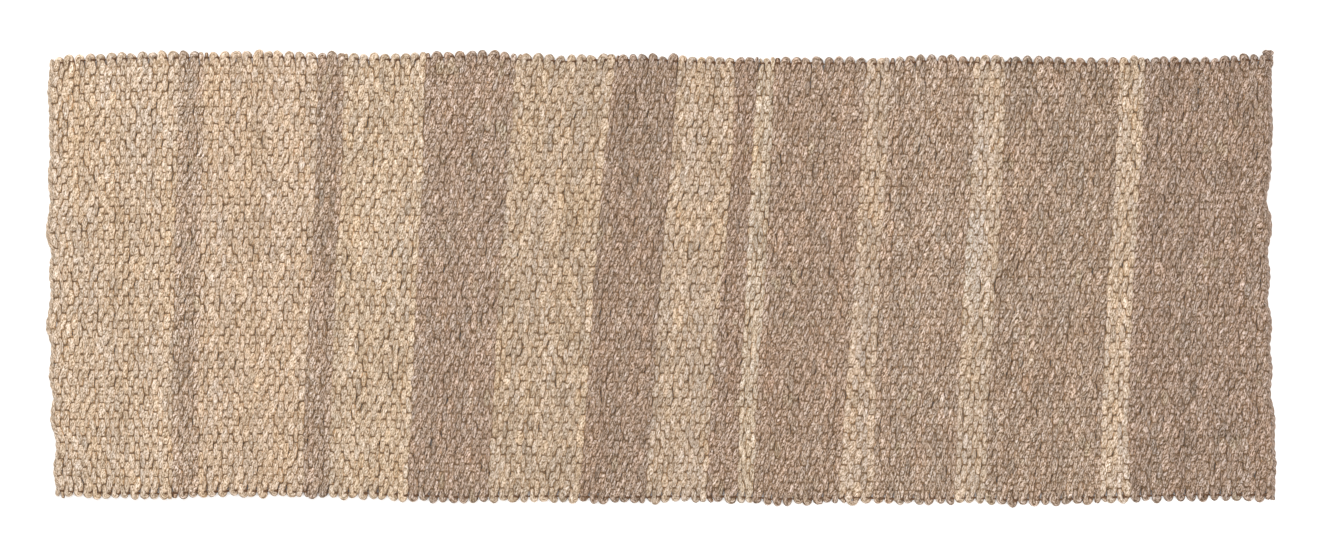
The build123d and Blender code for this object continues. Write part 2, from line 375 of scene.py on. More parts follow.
def pass_path(s, c, k, t):
    """Pass k of the whole rug, which is pass c of stripe s, at places t counted in warps."""
    n = PASSES[s]
    share = (c + 0.5) / n
    x_mid = 0.5 * (boundary(s, 0.0) + boundary(s + 1, 0.0))
    x = np.full(len(t), x_mid)
    for _ in range(3):
        y = y_front(x) + (y_back(x) - y_front(x)) * t / (N_WARP - 1)
        left, right = boundary(s, y), boundary(s + 1, y)
        x = left + (right - left) * share
        if s == 0:
            x = x + end_wave(0, y) * (1 - share) ** 3
        if s == 17:
            x = x + end_wave(18, y) * share ** 3
    pitch = (right - left) / n
    before, after = np.interp(y, KNOT_Y, BEAT[k]), np.interp(y, KNOT_Y, BEAT[k + 1])
    return x + pitch * 0.5 * (before + after), y, pitch * (1 + after - before)


def warp_offset(j, k):
    """How far along the width warp j is from its even place where it crosses pass k."""
    u = k / 4.2
    i = np.floor(u).astype(int) if isinstance(u, np.ndarray) else int(u)
    f = u - i
    slow = WARP_WANDER[j, i] * (1 - f) + WARP_WANDER[j, i + 1] * f
    return 0.75 * slow + 14.1 * FLOATS["dt"][k, j] * 0.8


def stripe(s, first):
    """All the passes of stripe s as one continuous yarn."""
    n = PASSES[s]
    natural = COLOURS[s] == "natural"
    centre, half_w, half_h, colour, bed, rim = [], [], [], [], [], []
    base = srgb(*STRIPE_RGB[s]) * GAIN[COLOURS[s]]
    t_all = np.concatenate([(np.arange(N_WARP - 1)[:, None] + RINGS[None, :]).ravel(), [N_WARP - 1.0]])
    for c in range(n):
        k = first + c
        t = t_all if k % 2 == 0 else t_all[::-1]
        x, y, pitch = pass_path(s, c, k, t)
        near = np.round(t).astype(int)
        d = (t - near) * 14.1
        y = y + warp_offset(near, k) * np.exp(-(d / 5.0) ** 2)
        crossing_over = ((near + k) % 2 == 0)          # the warp lies on top of this pass
        dent = np.exp(-(np.abs(d) / 2.7) ** 2.1) * FLOATS["dent"][k][near]
        z = MID_Z + np.where(crossing_over, -1.0, 1.0) * DIP * dent
        h = HALF_H - PINCH * dent + per_float("high", k, t) * (1 - dent.clip(0, 1))
        # a float is widest in its middle, where the passes beside it are pinched
        belly = np.cos(math.pi * (t + k + 1))
        w = pitch * (0.525 + 0.095 * belly) * per_float("wide", k, t)
        h = h * np.clip(pitch / 9.0, 0.8, 1.02)
        edge = smoothstep(1 - np.minimum(t, N_WARP - 1 - t) / 1.1)
        at_back = t > N_WARP / 2
        pull_to = np.where(at_back == (k % 2 == 0), 1.0, -1.0)
        if c == 0:
            pull_to = np.where(pull_to < 0, 0.0, pull_to)
        if c == n - 1:
            pull_to = np.where(pull_to > 0, 0.0, pull_to)
        x = x + 0.85 * edge * pull_to
        h = h + 0.55 * edge
        x = x + per_float("dx", k, t)
        odd = (k + 1) % 2
        m = np.round((t - odd) / 2) * 2 + odd
        tau = t - m
        x = x + FLOATS["tilt"][k][np.clip(m, 0, N_WARP - 1).astype(int)] * 14.1 * tau * (1 - tau ** 6)
        bed.append((0.565 - 0.07 * edge) * pitch)
        w = w * (1 - 0.06 * edge)
        rim.append(edge)
        tone, hue = per_float("tone", k, t), per_float("hue", k, t)
        p = np.stack([x, y], 1)
        broad = value_noise(p, 120.0, 31) * 0.4 + value_noise(p * np.array([1.0, 0.16]), 17.0, 33) * 0.7
        warm = value_noise(p * np.array([1.0, 0.14]), 19.0, 41) * 0.75 + value_noise(p, 95.0, 43) * 0.25 + hue * 0.5
        light = 1 + (0.045 if s < 3 else 0.068) * tone + 0.032 * PASS_TONE[k] + 0.045 * broad
        col = base[None, :] * light[:, None]
        if natural:
            col = col * (1 + warm[:, None] * np.array([0.020, -0.004, -0.050])[None, :])
        else:
            col = col * (1 + warm[:, None] * np.array([0.026, -0.002, -0.020])[None, :])
            green = smoothstep((value_noise(p, 34.0, 51) + 0.35 * hue - 0.75) / 0.6)
            col = mix3(col, col * np.array([0.94, 1.01, 0.97])[None, :], green)
        if s == 14 and c < 3:
            bleached = smoothstep((y + 70) / 50) * smoothstep((135 - y) / 50) * (0.75 + 0.35 * hue).clip(0.1, 1)
            col = mix3(col, col * np.array([1.05, 1.14, 1.26])[None, :], bleached)
        centre.append(np.stack([x, y, z], 1))
        half_w.append(w)
        half_h.append(h)
        colour.append(col)
        if c < n - 1:
            # the yarn turns back past the selvedge cord
            phi = np.linspace(0, math.pi, 9)[1:-1]
            x1, y1, _ = pass_path(s, c + 1, k + 1, t[-1:])
            out = 1.0 if k % 2 == 0 else -1.0
            x1 = x1 - 0.85 + FLOATS["dx"][k + 1][N_WARP - 1 if k % 2 == 0 else 0]
            gap_x = x1[0] - x[-1]
            pull = np.clip(RNG.normal(0, 1.4), -2.2, 3.4)
            lean = np.clip(RNG.normal(0, 0.24), -0.45, 0.45)
            za = z[-1]
            mid_x, mid_y = 0.5 * (x[-1] + x1[0]), 0.5 * (y[-1] + y1[0])
            bow = np.sin(phi)
            cx = mid_x - 0.5 * gap_x * np.cos(phi) * (1 - 0.12 * bow ** 2) + lean * 7.0 * bow
            cy = mid_y - 0.5 * (y1[0] - y[-1]) * np.cos(phi) + out * ((3.4 if out > 0 else 2.4) + 0.5 * gap_x + pull) * bow ** 0.62
            cz = MID_Z + (za - MID_Z) * np.cos(phi)
            centre.append(np.stack([cx, cy, cz], 1))
            fat = np.clip(RNG.normal(1, 0.09), 0.82, 1.2)
            half_w.append(np.full(len(phi), 4.95) * (1 - 0.04 * bow) * fat)
            half_h.append(np.full(len(phi), HALF_H + 0.60) - 0.5 * PINCH * np.abs(np.cos(phi)) ** 4)
            bed.append(np.zeros(len(phi)))
            rim.append(np.ones(len(phi)))
            turn = RNG.normal(0, 0.07)
            colour.append(np.repeat(col[-1:], len(phi), 0) * (1 + turn))
    centre = np.concatenate(centre)
    half_w = np.concatenate(half_w)
    half_h = np.concatenate(half_h)
    colour = np.concatenate(colour)
    bed = np.concatenate([np.zeros(5)] + bed + [np.zeros(5)])
    rim = np.concatenate([np.ones(5)] + rim + [np.ones(5)])
    # the yarn's two ends pass the selvedge cord, turn down and taper out
    fade = np.array([1.0, 0.98, 0.93, 0.82, 0.55])
    for tip in (0, -1):
        a, b = (centre[0], centre[1]) if tip == 0 else (centre[-1], centre[-2])
        away = a - b
        away[2] = 0
        away /= np.linalg.norm(away)
        step = np.array([2.1, 4.2, 6.3, 8.3, 9.8]) * (1.35 if s == 0 and tip == 0 else 1.0)
        extra = a[None, :] + away[None, :] * step[:, None]
        extra[:, 2] = a[2] + (MID_Z - 1.2 - a[2]) * step / 9.8
        extra[:, 0] += (0.5 if tip == 0 else -0.5) * step * 0.2
        if tip == 0:
            centre = np.concatenate([extra[::-1], centre])
            half_w = np.concatenate([half_w[0] * fade[::-1], half_w])
            half_h = np.concatenate([3.6 * fade[::-1], half_h])
            colour = np.concatenate([np.repeat(colour[:1], 5, 0), colour])
        else:
            centre = np.concatenate([centre, extra])
            half_w = np.concatenate([half_w, half_w[-1] * fade])
            half_h = np.concatenate([half_h, 3.6 * fade])
            colour = np.concatenate([colour, np.repeat(colour[-1:], 5, 0)])
    raised = lift(centre[:, 0], centre[:, 1])
    centre[:, 2] += raised
    step = np.linalg.norm(np.diff(centre, axis=0), axis=1)
    length = np.concatenate([[0.0], np.cumsum(step)])
    marks = np.arange(0, length[-1] + 60, 45.0)
    slub = np.interp(length, marks, RNG.normal(0, 1, len(marks)))
    half_w = half_w * (1 + 0.03 * slub)
    lay = 118.0 if natural else 92.0
    marks = np.arange(0, length[-1] + 60, 30.0)
    wander = np.interp(length, marks, np.cumsum(RNG.normal(0, 0.30, len(marks))))
    psi = wander - 2 * math.pi * length / lay
    lobe = np.full(len(centre), 0.06 if natural else 0.085)
    points, quads, own = tube(centre, half_w, half_h, psi, lobe, SIDES_N)
    sides = points.shape[1]
    flat_points = points.reshape(-1, 3)
    rough = RNG.normal(0, 1, (len(centre), sides))
    rough = 0.8 * rough + 0.5 * np.roll(rough, 1, 0) + 0.35 * np.roll(rough, 1, 1)
    rough = (1 + 0.042 * rough).reshape(-1, 1)
    centres = np.repeat(centre, sides, 0)
    flat_points = centres + (flat_points - centres) * rough
    # the yarns are beaten together, so their sides press on each other
    off = (flat_points - centres).reshape(len(centre), sides, 3)
    reach = np.linalg.norm(off[:, :, :2], axis=2)
    for side_of in (0, sides // 2):
        grow = np.maximum(bed / np.maximum(reach[:, side_of], 1e-6), 1.0)
        off[:, side_of, :2] *= grow[:, None]
    flat_points = centres + off.reshape(-1, 3)
    flat_points[:, 2] = np.maximum(flat_points[:, 2], 0.15)
    height = (flat_points[:, 2] - np.repeat(raised, sides) - MID_Z)
    # painted shade: how far down between the yarns a point lies, which the material darkens
    shade_depth = np.clip(1 - np.abs(height) / 4.5, 0, 1)
    # the outer side of a turn is out in the light, and its painted shade darkens it only towards the floor
    middle = 0.5 * (y_front(centres[:, 0]) + y_back(centres[:, 0]))
    outer = (flat_points[:, 1] - centres[:, 1]) * np.sign(centres[:, 1] - middle)
    outer = np.repeat(bed == 0, sides) * smoothstep((outer + 1.0) / 3.0)
    under = smoothstep((2.9 - height) / 4.4)
    shade_depth = shade_depth * (1 - outer) + 0.5 * under * outer
    flat_points[:, 0] += SHIFT_X
    n0 = len(flat_points)
    flat_points = np.concatenate([flat_points, centre[:1] + [[SHIFT_X, 0, 0]], centre[-1:] + [[SHIFT_X, 0, 0]]])
    ends = [[(n0, i, (i + 1) % sides) for i in range(sides)],
            [(n0 + 1, n0 - sides + (i + 1) % sides, n0 - sides + i) for i in range(sides)]]
    # painted shade: between the turns at the long edges the yarn lies in heavy shade, painted into its colour
    shade = 1 - 0.80 * np.repeat(rim, sides) * smoothstep((shade_depth - 0.36) / 0.5)
    # painted shade: the outer side of a turn darkens towards the floor
    shade = shade * (1 - 0.55 * outer * under)
    # the painted shade goes warmer as it darkens
    tint = np.repeat(colour, sides, 0) * shade[:, None] ** np.array([0.78, 1.0, 1.25])[None, :]
    tint = np.concatenate([tint, colour[:1] * 0.5, colour[-1:] * 0.5])
    tint = np.concatenate([tint, np.ones((len(tint), 1))], 1)
    own = np.concatenate([own.reshape(-1, 3), own[0, :1] * 0, own[-1, :1] * 0])
    shade_depth = np.concatenate([shade_depth, [1.0, 1.0]])
    name = "weft_%02d_%s" % (s + 1, COLOURS[s])
    return build_mesh(name, flat_points, quads, ends,
                      {"yarn_co": own, "tint": tint, "shade_depth": shade_depth}, plan_uv)


# ---------------------------------------------------------------------------
# materials
# ---------------------------------------------------------------------------
def node(tree, kind, x, y, **values):
    n = tree.nodes.new(kind)
    n.location = (x, y)
    for key, value in values.items():
        setattr(n, key, value)
    return n


def yarn_material(name, fibre_dark, fibre_light, groove_shade, coarse, sheen, cavity_shade, bundle, slivers, plies, cell):
    """Spun plant fibre: fibres run along the ply, with painted shade in the line where two plies meet."""
    mat = bpy.data.materials.new(name)
    mat.use_nodes = True
    tree = mat.node_tree
    tree.nodes.clear()
    out = node(tree, "ShaderNodeOutputMaterial", 1300, 0)
    bsdf = node(tree, "ShaderNodeBsdfPrincipled", 1000, 0)
    tree.links.new(bsdf.outputs[0], out.inputs[0])
    bsdf.inputs["Roughness"].default_value = 0.92
    bsdf.inputs["Specular IOR Level"].default_value = 0.22
    bsdf.inputs["Sheen Weight"].default_value = sheen
    bsdf.inputs["Sheen Roughness"].default_value = 0.55

    co = node(tree, "ShaderNodeAttribute", -1400, 0, attribute_name="yarn_co")
    tint = node(tree, "ShaderNodeAttribute", -1400, 300, attribute_name="tint")
    shade_depth_node = node(tree, "ShaderNodeAttribute", -1400, 500, attribute_name="shade_depth")

    # fine fibres, stretched along the yarn
    m1 = node(tree, "ShaderNodeMapping", -1150, 60)
    m1.inputs["Scale"].default_value = (1.0, 1.0, 0.10)
    tree.links.new(co.outputs["Vector"], m1.inputs["Vector"])
    fine = node(tree, "ShaderNodeTexNoise", -950, 60)
    fine.inputs["Scale"].default_value = 1.9 * coarse
    fine.inputs["Detail"].default_value = 4.0
    fine.inputs["Roughness"].default_value = 0.62
    tree.links.new(m1.outputs[0], fine.inputs["Vector"])
    # bundles of fibre, a few millimetres wide and soon buried again
    m2 = node(tree, "ShaderNodeMapping", -1150, -260)
    m2.inputs["Scale"].default_value = (1.0, 1.0, cell[1])
    tree.links.new(co.outputs["Vector"], m2.inputs["Vector"])
    strand = node(tree, "ShaderNodeTexNoise", -950, -260)
    strand.inputs["Scale"].default_value = cell[0]
    strand.inputs["Detail"].default_value = 3.0
    strand.inputs["Roughness"].default_value = 0.6
    tree.links.new(m2.outputs[0], strand.inputs["Vector"])
    # slow change of tone along the yarn
    slow = node(tree, "ShaderNodeTexNoise", -950, -520)
    slow.inputs["Scale"].default_value = 0.055
    slow.inputs["Detail"].default_value = 3.0
    tree.links.new(co.outputs["Vector"], slow.inputs["Vector"])

    # the lines between the plies, which run round the yarn with its twist
    split = node(tree, "ShaderNodeSeparateXYZ", -1350, -760)
    tree.links.new(co.outputs["Vector"], split.inputs[0])
    round_it = node(tree, "ShaderNodeMath", -1190, -760, operation="ARCTAN2")
    tree.links.new(split.outputs["Y"], round_it.inputs[0])
    tree.links.new(split.outputs["X"], round_it.inputs[1])
    turns = node(tree, "ShaderNodeMath", -1040, -760, operation="MULTIPLY")
    turns.inputs[1].default_value = 0.5 * plies
    tree.links.new(round_it.outputs[0], turns.inputs[0])
    wave = node(tree, "ShaderNodeMath", -900, -760, operation="COSINE")
    tree.links.new(turns.outputs[0], wave.inputs[0])
    across = node(tree, "ShaderNodeMath", -830, -760, operation="ABSOLUTE")
    tree.links.new(wave.outputs[0], across.inputs[0])
    line = node(tree, "ShaderNodeMapRange", -700, -760)
    line.interpolation_type = "SMOOTHSTEP"
    line.inputs["From Min"].default_value = 0.04
    line.inputs["From Max"].default_value = 0.62
    line.inputs["To Min"].default_value = 0.0
    line.inputs["To Max"].default_value = 1.0
    tree.links.new(across.outputs[0], line.inputs["Value"])
    # thin slivers of fibre
    m3 = node(tree, "ShaderNodeMapping", -1150, -1250)
    m3.inputs["Scale"].default_value = (1.0, 1.0, 0.30)
    m3.inputs["Location"].default_value = (7.0, 3.0, 11.0)
    tree.links.new(co.outputs["Vector"], m3.inputs["Vector"])
    sliver = node(tree, "ShaderNodeTexNoise", -950, -1250)
    sliver.inputs["Scale"].default_value = 0.78 * coarse
    sliver.inputs["Detail"].default_value = 1.0
    tree.links.new(m3.outputs[0], sliver.inputs["Vector"])
    ramp4 = node(tree, "ShaderNodeMapRange", -700, -1250)
    ramp4.inputs["From Min"].default_value = 0.30
    ramp4.inputs["From Max"].default_value = 0.70
    ramp4.inputs["To Min"].default_value = slivers[0]
    ramp4.inputs["To Max"].default_value = slivers[1]
    ramp4.clamp = False
    tree.links.new(sliver.outputs["Fac"], ramp4.inputs["Value"])
    most = node(tree, "ShaderNodeMath", -620, -1250, operation="MINIMUM")
    most.inputs[1].default_value = slivers[3]
    tree.links.new(ramp4.outputs[0], most.inputs[0])
    least = node(tree, "ShaderNodeMath", -560, -1250, operation="MAXIMUM")
    least.inputs[1].default_value = slivers[2]
    tree.links.new(most.outputs[0], least.inputs[0])

    # colour
    ramp = node(tree, "ShaderNodeMapRange", -700, 60)
    ramp.inputs["From Min"].default_value = 0.30
    ramp.inputs["From Max"].default_value = 0.72
    ramp.inputs["To Min"].default_value = fibre_dark
    ramp.inputs["To Max"].default_value = fibre_light
    tree.links.new(fine.outputs["Fac"], ramp.inputs["Value"])
    ramp2 = node(tree, "ShaderNodeMapRange", -700, -260)
    ramp2.inputs["From Min"].default_value = 0.30
    ramp2.inputs["From Max"].default_value = 0.70
    ramp2.inputs["To Min"].default_value = bundle[0]
    ramp2.inputs["To Max"].default_value = bundle[1]
    ramp2.clamp = False
    tree.links.new(strand.outputs["Fac"], ramp2.inputs["Value"])
    ramp3 = node(tree, "ShaderNodeMapRange", -700, -520)
    ramp3.inputs["From Min"].default_value = 0.30
    ramp3.inputs["From Max"].default_value = 0.70
    ramp3.inputs["To Min"].default_value = 0.93
    ramp3.inputs["To Max"].default_value = 1.07
    tree.links.new(slow.outputs["Fac"], ramp3.inputs["Value"])
    # painted shade in the line between the plies
    groove_shade_line = node(tree, "ShaderNodeMapRange", -560, -760)
    groove_shade_line.inputs["To Min"].default_value = groove_shade
    groove_shade_line.inputs["To Max"].default_value = 1.0
    tree.links.new(line.outputs[0], groove_shade_line.inputs["Value"])
    # painted shade: the sides of a yarn, down between its neighbours, are painted darker
    hollow_shade = node(tree, "ShaderNodeMapRange", -700, 500)
    hollow_shade.interpolation_type = "SMOOTHSTEP"
    hollow_shade.inputs["From Min"].default_value = 0.50
    hollow_shade.inputs["From Max"].default_value = 0.92
    hollow_shade.inputs["To Min"].default_value = 1.0
    hollow_shade.inputs["To Max"].default_value = cavity_shade
    tree.links.new(shade_depth_node.outputs["Fac"], hollow_shade.inputs["Value"])

    def times(a, b, x, y):
        m = node(tree, "ShaderNodeMath", x, y, operation="MULTIPLY")
        tree.links.new(a, m.inputs[0])
        tree.links.new(b, m.inputs[1])
        return m.outputs[0]

    value = times(ramp.outputs[0], ramp2.outputs[0], -480, -60)
    value = times(value, ramp3.outputs[0], -320, -160)
    value = times(value, least.outputs[0], -240, -360)
    # painted shade: small dark spots where a bundle of fibre dives under the next
    m4 = node(tree, "ShaderNodeMapping", -1150, -1500)
    m4.inputs["Scale"].default_value = (1.0, 1.0, 0.75)
    m4.inputs["Location"].default_value = (13.0, 41.0, 2.0)
    tree.links.new(co.outputs["Vector"], m4.inputs["Vector"])
    pit_shade_noise = node(tree, "ShaderNodeTexNoise", -950, -1500)
    pit_shade_noise.inputs["Scale"].default_value = 0.46
    pit_shade_noise.inputs["Detail"].default_value = 1.0
    tree.links.new(m4.outputs[0], pit_shade_noise.inputs["Vector"])
    pit_shade = node(tree, "ShaderNodeMapRange", -700, -1500)
    pit_shade.interpolation_type = "SMOOTHSTEP"
    pit_shade.inputs["From Min"].default_value = 0.30
    pit_shade.inputs["From Max"].default_value = 0.43
    pit_shade.inputs["To Min"].default_value = 0.42
    pit_shade.inputs["To Max"].default_value = 1.0
    tree.links.new(pit_shade_noise.outputs["Fac"], pit_shade.inputs["Value"])
    value = times(value, pit_shade.outputs[0], -160, -460)
    value = times(value, groove_shade_line.outputs[0], -160, -260)
    value = times(value, hollow_shade.outputs[0], 0, 160)
    grey = node(tree, "ShaderNodeCombineColor", 160, 160)
    # shade goes a little warmer as it darkens
    warm_r = node(tree, "ShaderNodeMath", 60, 320, operation="POWER")
    warm_r.inputs[1].default_value = 0.84
    warm_b = node(tree, "ShaderNodeMath", 60, 20, operation="POWER")
    warm_b.inputs[1].default_value = 1.26
    tree.links.new(value, warm_r.inputs[0])
    tree.links.new(value, warm_b.inputs[0])
    tree.links.new(warm_r.outputs[0], grey.inputs[0])
    tree.links.new(value, grey.inputs[1])
    tree.links.new(warm_b.outputs[0], grey.inputs[2])
    mixed = node(tree, "ShaderNodeMix", 420, 240, data_type="RGBA", blend_type="MULTIPLY")
    mixed.inputs["Factor"].default_value = 1.0
    tree.links.new(tint.outputs["Color"], mixed.inputs[6])
    tree.links.new(grey.outputs[0], mixed.inputs[7])
    hue_co = node(tree, "ShaderNodeMapping", -1150, -1000)
    hue_co.inputs["Scale"].default_value = (1.0, 1.0, 0.45)
    hue_co.inputs["Location"].default_value = (31.0, 17.0, 5.0)
    tree.links.new(co.outputs["Vector"], hue_co.inputs["Vector"])
    hue = node(tree, "ShaderNodeTexNoise", -950, -1000)
    hue.inputs["Scale"].default_value = 0.24
    hue.inputs["Detail"].default_value = 2.0
    tree.links.new(hue_co.outputs[0], hue.inputs["Vector"])
    shift = node(tree, "ShaderNodeMapRange", -700, -1000)
    shift.inputs["From Min"].default_value = 0.32
    shift.inputs["From Max"].default_value = 0.68
    tree.links.new(hue.outputs["Fac"], shift.inputs["Value"])
    two = node(tree, "ShaderNodeMix", -480, -1000, data_type="RGBA")
    two.inputs[6].default_value = (1.03, 0.992, 0.96, 1.0)
    two.inputs[7].default_value = (0.98, 1.006, 1.035, 1.0)
    tree.links.new(shift.outputs[0], two.inputs["Factor"])
    dyed = node(tree, "ShaderNodeMix", 620, 240, data_type="RGBA", blend_type="MULTIPLY")
    dyed.inputs["Factor"].default_value = 1.0
    tree.links.new(mixed.outputs[2], dyed.inputs[6])
    tree.links.new(two.outputs[2], dyed.inputs[7])
    # light that has bounced down between two yarns is warmer
    down = node(tree, "ShaderNodeMapRange", 420, 520)
    down.interpolation_type = "SMOOTHSTEP"
    down.inputs["From Min"].default_value = 0.42
    down.inputs["From Max"].default_value = 0.90
    tree.links.new(shade_depth_node.outputs["Fac"], down.inputs["Value"])
    glow = node(tree, "ShaderNodeMix", 720, 420, data_type="RGBA", blend_type="MULTIPLY")
    glow.inputs[7].default_value = (1.10, 0.92, 0.66, 1.0)
    tree.links.new(down.outputs[0], glow.inputs["Factor"])
    tree.links.new(dyed.outputs[2], glow.inputs[6])
    tree.links.new(glow.outputs[2], bsdf.inputs["Base Color"])

    # relief: the ply line, strands and fibres
    add1 = node(tree, "ShaderNodeMath", 100, -500, operation="MULTIPLY_ADD")
    add1.inputs[1].default_value = 0.55
    tree.links.new(line.outputs[0], add1.inputs[0])
    tree.links.new(strand.outputs["Fac"], add1.inputs[2])
    add3 = node(tree, "ShaderNodeMath", 200, -700, operation="MULTIPLY_ADD")
    add3.inputs[1].default_value = 0.9
    tree.links.new(sliver.outputs["Fac"], add3.inputs[0])
    tree.links.new(add1.outputs[0], add3.inputs[2])
    add2 = node(tree, "ShaderNodeMath", 300, -500, operation="MULTIPLY_ADD")
    add2.inputs[1].default_value = 0.45
    tree.links.new(fine.outputs["Fac"], add2.inputs[0])
    tree.links.new(add3.outputs[0], add2.inputs[2])
    bump = node(tree, "ShaderNodeBump", 600, -400)
    bump.inputs["Strength"].default_value = 0.85
    bump.inputs["Distance"].default_value = 0.0016
    tree.links.new(add2.outputs[0], bump.inputs["Height"])
    tree.links.new(bump.outputs[0], bsdf.inputs["Normal"])
    return mat


NATURAL = yarn_material("natural_fibre", 0.74, 1.22, 0.80, 1.05, 0.12, 0.74, (0.70, 1.28), (0.20, 1.80, 0.3, 1.36), 3.0, (0.46, 0.48))
BROWN = yarn_material("brown_fibre", 0.72, 1.24, 0.50, 1.15, 0.12, 0.82, (0.66, 1.32), (-0.10, 2.10, 0.2, 1.62), 4.0, (0.42, 0.42))
CORD = yarn_material("cord_fibre", 0.76, 1.18, 0.75, 1.3, 0.10, 1.0, (0.75, 1.2), (0.7, 1.3, 0.4, 1.4), 3.0, (0.47, 0.55))


def finish_piece(obj, mat, nodes, body):
    obj.data.materials.append(mat)
    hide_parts(*nodes)
    if isinstance(body, str):
        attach(obj, body)
    else:
        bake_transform(obj)


FOLD = ("left_half", "right_half", (-0.034, 0.0, 0.0), (0.040, 0.0, 0.0))
RUG_WIDTH = 0.776

# ---------------------------------------------------------------------------
# weft stripes
# ---------------------------------------------------------------------------
first = 0
weft = []
for s in range(18):
    obj = stripe(s, first)
    first += PASSES[s]
    nodes = ["weft_band_%02d_%s" % (s + 1, COLOURS[s])]
    if s in (7, 8):
        body = FOLD
    else:
        body = "left_half" if s < 8 else "right_half"
    finish_piece(obj, NATURAL if COLOURS[s] == "natural" else BROWN,
                 nodes, body)
    weft.append(obj)

# ---------------------------------------------------------------------------
# warp cords, selvedge cords, end cords and the corner knot
# ---------------------------------------------------------------------------
CORD_RGB = srgb(150, 121, 92)


def cord_piece(name, paths, radii, sides, colour, lay, lobe=0.09):
    """Round twisted cords along paths, all in one piece."""
    all_p, all_q, all_own, caps, tints, off = [], [], [], [], [], 0
    for path, r in zip(paths, radii):
        step = np.linalg.norm(np.diff(path, axis=0), axis=1)
        length = np.concatenate([[0.0], np.cumsum(step)])
        psi = 2 * math.pi * length / lay + RNG.uniform(0, 6)
        rr = np.full(len(path), r) * (1 + 0.03 * RNG.normal(0, 1, len(path)))
        p, q, own = tube(path, rr, rr, psi, np.full(len(path), lobe), sides)
        own[:, :, 2] += RNG.uniform(0, 900)
        n = p.shape[0] * sides
        all_p += [p.reshape(-1, 3), path[:1], path[-1:]]
        all_q.append(q + off)
        all_own += [own.reshape(-1, 3), own[0, :1] * 0, own[-1, :1] * 0]
        caps.append([(off + n, off + i, off + (i + 1) % sides) for i in range(sides)])
        caps.append([(off + n + 1, off + n - sides + (i + 1) % sides, off + n - sides + i)
                     for i in range(sides)])
        off += n + 2
        tints.append(np.tile(colour * (1 + 0.05 * RNG.normal()), (n + 2, 1)))
    points = np.concatenate(all_p)
    points[:, 0] += SHIFT_X
    tint = np.concatenate(tints)
    tint = np.concatenate([tint, np.ones((len(tint), 1))], 1)
    return build_mesh(name, points, np.concatenate(all_q), caps,
                      {"yarn_co": np.concatenate(all_own), "tint": tint,
                       "shade_depth": np.full(len(points), 0.2)}, plan_uv)


# where each warp crosses each weft pass
CROSS = np.zeros((TOTAL, N_WARP, 2))
k = 0
for s in range(18):
    for c in range(PASSES[s]):
        t = np.arange(N_WARP, dtype=float)
        x, y, _ = pass_path(s, c, k, t)
        CROSS[k, :, 0], CROSS[k, :, 1] = x, y + warp_offset(np.arange(N_WARP), k)
        k += 1
HALF = sum(PASSES[:8])


def warp_path(j, passes, ends):
    """Warp j over one pass and under the next."""
    pts = []
    for k in passes:
        x, y = CROSS[k, j]
        up = 1.0 if (j + k) % 2 == 0 else -1.0
        pts.append((x, y, MID_Z + up * WARP_AMP))
    pts = np.array(pts)
    mids = 0.5 * (pts[1:] + pts[:-1])
    mids[:, 2] = MID_Z
    path = np.empty((len(pts) + len(mids), 3))
    path[0::2], path[1::2] = pts, mids
    head, tail = ends
    if head is not None:
        path = np.concatenate([[[head, path[0, 1], MID_Z]], path])
    if tail is not None:
        path = np.concatenate([path, [[tail, path[-1, 1], MID_Z]]])
    path[:, 2] += lift(path[:, 0], path[:, 1])
    return path


for half in ("left", "right"):
    passes = range(0, HALF) if half == "left" else range(HALF, TOTAL)
    paths, doubled = [], {}
    for j in range(N_WARP):
        y_mid = float(CROSS[0 if half == "left" else TOTAL - 1, j, 1])
        seam = 0.5 * (CROSS[HALF - 1, j, 0] + CROSS[HALF, j, 0])
        if half == "left":
            ends = (float(read(LEFT, y_mid)) + 0.55 * END_W, seam - 0.1)
        else:
            ends = (seam + 0.1, float(read(RIGHT, y_mid)) - 0.55 * END_W)
        path = warp_path(j, passes, ends)
        if 0 < j < N_WARP - 1:
            paths.append(path)
            continue
        # the selvedge cord is two cords, twisted together
        a = 2 * math.pi * path[:, 0] / 37.0
        doubled["front" if j == 0 else "back"] = [
            path + np.stack([0 * a, 0.95 * np.cos(a + turn), 0.95 * np.sin(a + turn) * 0.6], 1)
            for turn in (0.0, math.pi)]
    obj = cord_piece("warp_cords_" + half, paths, [WARP_R] * len(paths), 6, CORD_RGB, 12.0)
    finish_piece(obj, CORD, ["warp_cords_%s_half" % half], FOLD)
    for where, pair in doubled.items():
        # painted shade: the selvedge cords are darker than the other warps, as they show only in the shaded notches
        # between the turns
        obj = cord_piece("selvedge_cord_%s_%s" % (where, half), pair, [1.2, 1.2], 6, np.array([0.66, 0.52, 0.42]) * CORD_RGB, 12.0)
        finish_piece(obj, CORD, ["selvedge_cord_%s_%s_half" % (where, half)], FOLD)

for name, line, sign, rgb, slot, mat, body in (
        ("end_cord_left", LEFT, -1, STRIPE_RGB[0], "natural_weft", NATURAL, "left_half"),
        ("end_cord_right", RIGHT, 1, STRIPE_RGB[17], "brown_weft", BROWN, "right_half")):
    xm = -1060.0 if sign < 0 else 1060.0
    y = np.arange(float(y_front(xm)) - 9.5, float(y_back(xm)) + 8.6, 2.5)
    x = read(line, y) - sign * 4.2
    base = np.stack([x, y, MID_Z - 0.2 + lift(x, y)], 1)
    plies = []
    for ply in (0, 1):
        a = 2 * math.pi * y / 31.0 + math.pi * ply + 0.5 * np.sin(y / 37.0)
        plies.append(base + np.stack([1.9 * np.cos(a), 0 * y, 1.7 * np.sin(a)], 1))
    obj = cord_piece(name, plies, [2.6, 2.6], 10, srgb(*rgb) * GAIN["natural" if sign < 0 else "brown"],
                     26.0, lobe=0.05)
    finish_piece(obj, mat, [name], body)

